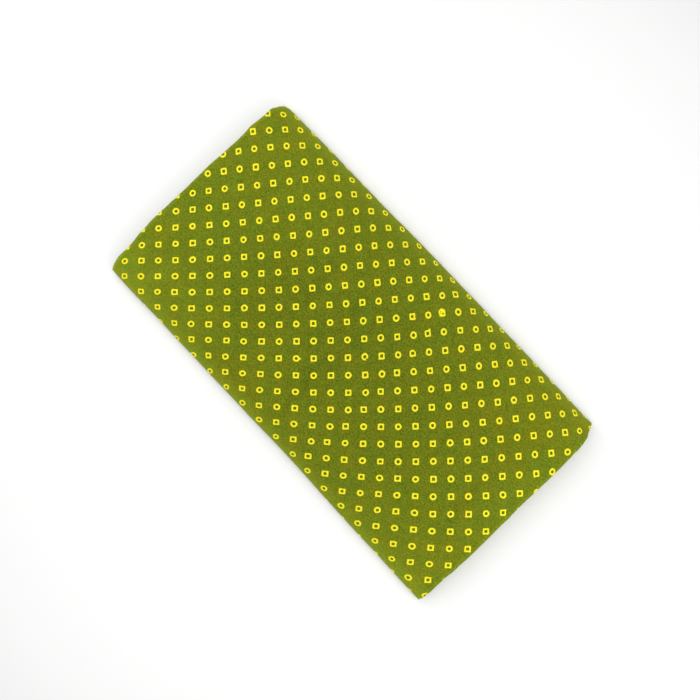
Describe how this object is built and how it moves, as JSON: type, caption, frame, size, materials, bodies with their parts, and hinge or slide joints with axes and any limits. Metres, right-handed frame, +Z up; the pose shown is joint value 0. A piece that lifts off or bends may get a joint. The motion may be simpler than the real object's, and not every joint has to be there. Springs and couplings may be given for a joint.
{
  "type": "folded printed cotton sari",
  "caption": "Soft folded bundle of printed cotton cloth, its nested plies turned round along a long side, with tight folds along the other and cut ends at the short sides.",
  "frame": {"origin": "under the middle of the folded bundle, on the surface it lies on", "axes": "+X along the long side and the folds, +Y towards the rounded spine, +Z up"},
  "size_m": [0.457, 0.2431, 0.03],
  "materials": {
    "printed_cotton": "matt olive-green plain weave, printed all over with small bright yellow rings and hollow squares"
  },
  "bodies": {
    "root": {"sari_cloth": "printed_cotton"}
  },
  "joints": []
}
